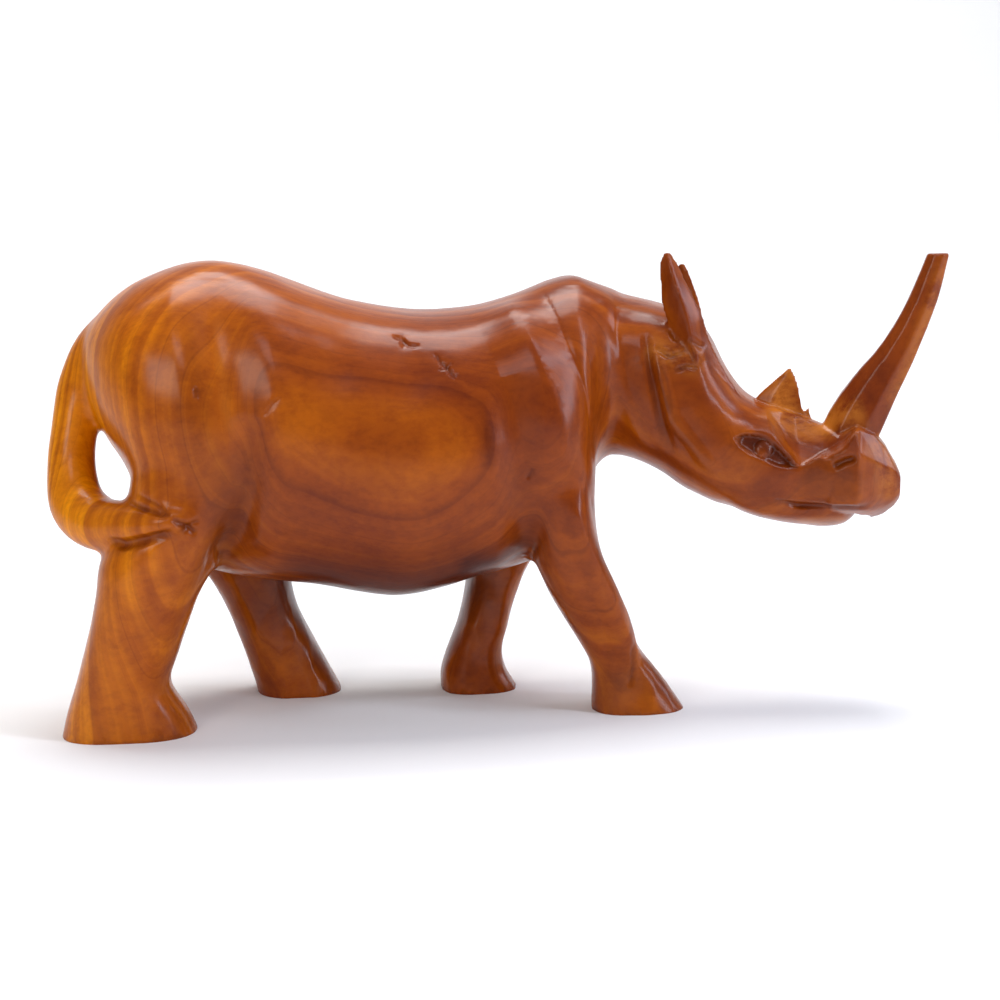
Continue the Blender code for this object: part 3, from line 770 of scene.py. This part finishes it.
def finish_shape(obj):
    """Flat soles on the floor, and the whole inside the box of the solid."""
    bm = bmesh.new()
    bm.from_mesh(obj.data)
    whole = list(bm.verts) + list(bm.edges) + list(bm.faces)
    sliced = bmesh.ops.bisect_plane(bm, geom=whole, plane_co=(0, 0, 0), plane_no=(0, 0, 1),
                                    clear_inner=True)
    rim = [e for e in sliced["geom_cut"] if isinstance(e, bmesh.types.BMEdge)]
    bmesh.ops.holes_fill(bm, edges=rim, sides=0)
    bmesh.ops.triangulate(bm, faces=[f for f in bm.faces if len(f.verts) > 3])
    bm.to_mesh(obj.data)
    bm.free()
    places = read(obj.data, "co")
    low = places.min(axis=0)
    high = places.max(axis=0)
    cad_low = np.array(cad_box[0])
    cad_high = np.array(cad_box[1])
    places = (places - low) / (high - low) * (cad_high - cad_low) + cad_low
    obj.data.vertices.foreach_set("co", places.ravel())
    obj.data.update()
    obj.data.shade_smooth()


finish_shape(body)
bpy.data.collections.remove(shop)


# Growth rings, in metres: how far the log's slow waves bend them, how they lean back with height,
# the place behind the middle that the belly's ovals lie around and how fast they curve, and where
# the upright lines of the rump begin and how fast they crowd
RING_WAVE = 0.012
RING_LEAN = -0.10
OVAL_BEHIND = 0.045
OVAL_CURVE = 1.1
UPRIGHT_FROM = -0.078
UPRIGHT_CROWD = 0.55

# Wide growth rings from dark to pale, then what shades them: place in the pattern and colour
RINGS = [(0.30, (0.215, 0.034, 0.0003)), (0.50, (0.285, 0.052, 0.0003)), (0.70, (0.38, 0.082, 0.0004))]
RING_LINES = [(0.30, (0.72, 0.66, 0.6)), (0.42, (1, 1, 1)), (0.62, (1, 1, 1)), (0.74, (1.16, 1.22, 1.2))]
FIBRES = [(0.36, (0.72, 0.66, 0.6)), (0.56, (1.04, 1.04, 1.04))]
CLOUDS = [(0.34, (0.74, 0.64, 0.7)), (0.52, (1, 1, 1)), (0.66, (1.1, 1.16, 1.1))]
SPECKS = [(0.38, (0.66, 0.52, 0.5)), (0.50, (1, 1, 1)), (0.66, (1.12, 1.2, 1.1))]
PATCHES = [(0.36, (0.8, 0.7, 1.2)), (0.60, (1.1, 1.16, 0.9))]

# Where a tint begins along the body and where it is full: rump and tail, tail's bend, front
REAR_SPAN = (-0.074, -0.142)
TAIL_SPAN = (-0.112, -0.146)
FRONT_SPAN = (0.004, 0.050)

# Tints of those three places, the rump's and tail's partly their yellower wood and partly painted warm
# light, then of dirt and painted shade, rubbed edges and painted highlight, stains and painted shade, and
# bare wood
REAR_TONE_AND_WARM_LIGHT = (2.1, 2.9, 0.8)
TAIL_TONE_AND_WARM_LIGHT = (1.08, 1.3, 0.9)
FRONT_TINT = (0.86, 0.82, 3.0)
DIRT_AND_SHADE_TINT = (0.50, 0.40, 0.4)
RUBBED_AND_HIGHLIGHT_TINT = (0.10, 0.04, 0.01)
STAIN_AND_SHADE_TINT = (0.30, 0.17, 0.2)
BARE_WOOD = (0.50, 0.155, 0.016)


def wood_material():
    """Reddish-orange hardwood with growth rings under a glossy varnish."""
    mat = bpy.data.materials.new("carved_wood")
    mat.use_nodes = True
    tree = mat.node_tree
    nodes = tree.nodes
    shader = nodes["Principled BSDF"]

    def node(kind, **values):
        made = nodes.new(kind)
        for key, value in values.items():
            setattr(made, key, value)
        return made

    def link(source, target):
        tree.links.new(source, target)

    def math_node(operation, a, b, clamp=False):
        made = node("ShaderNodeMath", operation=operation, use_clamp=clamp)
        for socket, value in zip(made.inputs, (a, b)):
            if isinstance(value, (int, float)):
                socket.default_value = value
            else:
                link(value, socket)
        return made.outputs[0]

    def noise_node(vector, scale, detail, rough, dims="3D"):
        made = node("ShaderNodeTexNoise", noise_dimensions=dims)
        link(vector, made.inputs["W" if dims == "1D" else "Vector"])
        made.inputs["Scale"].default_value = scale
        made.inputs["Detail"].default_value = detail
        made.inputs["Roughness"].default_value = rough
        return made.outputs[0]

    def ramp(value, stops):
        made = node("ShaderNodeValToRGB")
        link(value, made.inputs[0])
        while len(made.color_ramp.elements) > 1:
            made.color_ramp.elements.remove(made.color_ramp.elements[-1])
        made.color_ramp.elements[0].position = stops[0][0]
        made.color_ramp.elements[0].color = (*stops[0][1], 1)
        for place, colour in stops[1:]:
            made.color_ramp.elements.new(place).color = (*colour, 1)
        return made.outputs[0]

    def mix(kind, factor, a, b):
        made = node("ShaderNodeMix", data_type="RGBA", blend_type=kind)
        if isinstance(factor, (int, float)):
            made.inputs[0].default_value = factor
        else:
            link(factor, made.inputs[0])
        for socket, value in ((made.inputs[6], a), (made.inputs[7], b)):
            if isinstance(value, tuple):
                socket.default_value = (*value, 1)
            else:
                link(value, socket)
        return made.outputs[2]

    def share(value, start, end):
        """Rises from 0 to 1 between two values."""
        return math_node("MULTIPLY", math_node("SUBTRACT", value, start), 1.0 / (end - start), True)

    place = node("ShaderNodeTexCoord").outputs["Object"]
    split = node("ShaderNodeSeparateXYZ")
    link(place, split.inputs[0])
    x, y, z = split.outputs

    # Growth rings: layers across the width, tilted a little, bent by slow waves in the log,
    # curved into ovals on the belly and turned upright at the rump
    slow = noise_node(place, 7.0, 1.5, 0.4)
    layer = math_node("ADD", y, math_node("MULTIPLY", math_node("SUBTRACT", slow, 0.5), RING_WAVE))
    layer = math_node("ADD", layer, math_node("MULTIPLY", z, RING_LEAN))
    along = math_node("ADD", x, OVAL_BEHIND)
    layer = math_node("ADD", layer, math_node("MULTIPLY", math_node("MULTIPLY", along, along), OVAL_CURVE))
    rear = math_node("MAXIMUM", math_node("SUBTRACT", UPRIGHT_FROM, x), 0.0)
    layer = math_node("ADD", layer, math_node("MULTIPLY", rear, UPRIGHT_CROWD))
    wide = noise_node(layer, 170.0, 2.0, 0.5, "1D")
    fine = noise_node(layer, 700.0, 3.0, 0.6, "1D")
    tone = ramp(wide, RINGS)
    tone = mix("MULTIPLY", 0.65, tone, ramp(fine, RING_LINES))

    # Fibres and pores run along the body
    stretched = node("ShaderNodeMapping")
    stretched.inputs["Scale"].default_value = (0.32, 1.0, 0.5)
    link(place, stretched.inputs["Vector"])
    fibre = noise_node(stretched.outputs[0], 900.0, 4.0, 0.65)
    tone = mix("MULTIPLY", 0.4, tone, ramp(fibre, FIBRES))

    # Slow change of colour: yellower at the rump and tail, partly the wood and partly painted warm light
    # from the left, redder towards the head, mottled between
    mottle = noise_node(place, 26.0, 4.0, 0.6)
    patch = noise_node(place, 11.0, 2.0, 0.5)
    tone = mix("MULTIPLY", share(x, *REAR_SPAN), tone, REAR_TONE_AND_WARM_LIGHT)
    tone = mix("MULTIPLY", share(x, *TAIL_SPAN), tone, TAIL_TONE_AND_WARM_LIGHT)
    tone = mix("MULTIPLY", share(x, *FRONT_SPAN), tone, FRONT_TINT)
    tone = mix("MULTIPLY", 0.8, tone, ramp(mottle, CLOUDS))
    speck = noise_node(stretched.outputs[0], 210.0, 5.0, 0.7)
    tone = mix("MULTIPLY", 0.42, tone, ramp(speck, SPECKS))
    tone = mix("MULTIPLY", 0.7, tone, ramp(patch, PATCHES))

    # Cuts are painted darker, with dirt and painted shade, and raised edges lighter, with rubbed wear and
    # painted highlight; then come the stains with their painted shade, and the bare wood
    cut_depth = node("ShaderNodeAttribute", attribute_name="cut").outputs["Fac"]
    tone = mix("MULTIPLY", math_node("MULTIPLY", cut_depth, 0.9, True), tone, DIRT_AND_SHADE_TINT)
    tone = mix("SCREEN", math_node("MULTIPLY", cut_depth, -0.35, True), tone, RUBBED_AND_HIGHLIGHT_TINT)
    stain_and_shade = node("ShaderNodeAttribute", attribute_name="stain_and_shade").outputs["Fac"]
    tone = mix("MULTIPLY", math_node("MULTIPLY", stain_and_shade, 1.0, True), tone, STAIN_AND_SHADE_TINT)
    worn = math_node("MULTIPLY", share(speck, 0.36, 0.56), -1.5)
    bare = math_node("MULTIPLY", stain_and_shade, worn, True)
    tone = mix("MIX", bare, tone, BARE_WOOD)
    link(tone, shader.inputs["Base Color"])

    # Varnish: uneven under a clear coat
    smear = noise_node(place, 60.0, 4.0, 0.6)
    gloss = node("ShaderNodeMapRange")
    gloss.inputs["To Min"].default_value = 0.34
    gloss.inputs["To Max"].default_value = 0.56
    link(smear, gloss.inputs["Value"])
    link(gloss.outputs[0], shader.inputs["Roughness"])
    shader.inputs["Specular IOR Level"].default_value = 0.06
    shader.inputs["Coat Weight"].default_value = 0.55
    shader.inputs["Coat IOR"].default_value = 1.40
    shader.inputs["Coat Roughness"].default_value = 0.21
    shader.inputs["IOR"].default_value = 1.45

    # Pores and fine scratches in the surface
    scratch = node("ShaderNodeMapping")
    scratch.inputs["Scale"].default_value = (1.0, 1.0, 0.12)
    scratch.inputs["Rotation"].default_value = (0.2, 0.9, 0.3)
    link(place, scratch.inputs["Vector"])
    marks = noise_node(scratch.outputs[0], 900.0, 3.0, 0.7)
    relief = math_node("ADD", math_node("MULTIPLY", fibre, 0.5), math_node("MULTIPLY", marks, 0.4))
    bump = node("ShaderNodeBump")
    bump.inputs["Strength"].default_value = 0.22
    bump.inputs["Distance"].default_value = 0.0005
    link(relief, bump.inputs["Height"])
    link(bump.outputs[0], shader.inputs["Normal"])
    return mat


body.data.materials.clear()
body.data.materials.append(wood_material())
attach(body, "root")
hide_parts("rhinoceros")

# Pale seamless floor that curves up behind the figure
FLOOR_HALF = 9.0
SWEEP_START = 0.35
SWEEP_DEPTH = 1.9
SWEEP_HEIGHT = 2.6
SWEEP_STEPS = 40
profile = [(-FLOOR_HALF, 0.0), (SWEEP_START, 0.0)]
for k in range(1, SWEEP_STEPS + 1):
    profile.append((SWEEP_START + SWEEP_DEPTH * k / SWEEP_STEPS, SWEEP_HEIGHT * (k / SWEEP_STEPS) ** 3))
verts = [(side, y, z) for y, z in profile for side in (-FLOOR_HALF, FLOOR_HALF)]
quads = [(2 * k, 2 * k + 1, 2 * k + 3, 2 * k + 2) for k in range(len(profile) - 1)]
floor_mesh = bpy.data.meshes.new("floor")
floor_mesh.from_pydata(verts, [], quads)
floor_mesh.shade_smooth()
floor = bpy.data.objects.new("floor", floor_mesh)
bpy.context.scene.collection.objects.link(floor)
paper = bpy.data.materials.new("pale_paper")
paper.use_nodes = True
paper_shader = paper.node_tree.nodes["Principled BSDF"]
paper_shader.inputs["Base Color"].default_value = (0.88, 0.88, 0.88, 1)
paper_shader.inputs["Roughness"].default_value = 1.0
paper_shader.inputs["Specular IOR Level"].default_value = 0.0
floor_mesh.materials.append(paper)


def lamp(name, place, aim, size, power, colour):
    """A soft rectangular light that faces a point."""
    data = bpy.data.lights.new(name, "AREA")
    data.shape = "RECTANGLE"
    data.size = size[0]
    data.size_y = size[1]
    data.energy = power
    data.color = colour
    obj = bpy.data.objects.new(name, data)
    obj.location = place
    obj.rotation_euler = (Vector(aim) - Vector(place)).to_track_quat("-Z", "Y").to_euler()
    bpy.context.scene.collection.objects.link(obj)


# Lamps: name, place, aim, size, power and colour
LAMPS = [
    ("sky", (0.0, 0.35, 1.5), (0, 0.35, 0), (0.8, 0.8), 15.5, (1.0, 1.0, 1.0)),
    ("backdrop", (0.0, 0.7, 1.9), (0, 2.0, 0.6), (2.4, 0.4), 15.0, (1.0, 1.0, 1.0)),
    ("window_right", (0.82, -0.52, 0.56), (0.03, 0, 0.30), (0.14, 0.95), 5.2, (0.78, 0.85, 1.0)),
    ("window_top", (0.46, -0.34, 0.92), (0.03, 0, 0.12), (0.14, 0.50), 1.5, (0.80, 0.86, 1.0)),
    ("window_side", (0.95, 0.06, 0.52), (0.06, 0, 0.10), (0.30, 0.55), 2.8, (0.76, 0.82, 1.0)),
    ("window_left", (-0.56, -0.82, 0.46), (-0.10, 0, 0.10), (0.30, 0.40), 2.5, (1.0, 0.93, 0.84)),
    ("window_high", (-0.15, -0.74, 0.80), (-0.05, 0, 0.10), (0.30, 0.34), 1.3, (0.95, 0.93, 1.0)),
]
for row in LAMPS:
    lamp(*row)

world = bpy.data.worlds.new("studio")
world.use_nodes = True
sky_shader = world.node_tree.nodes["Background"]
sky_shader.inputs["Color"].default_value = (0.95, 0.96, 1.0, 1)
sky_shader.inputs["Strength"].default_value = 0.24
bpy.context.scene.world = world
bpy.context.scene.view_settings.view_transform = "Standard"
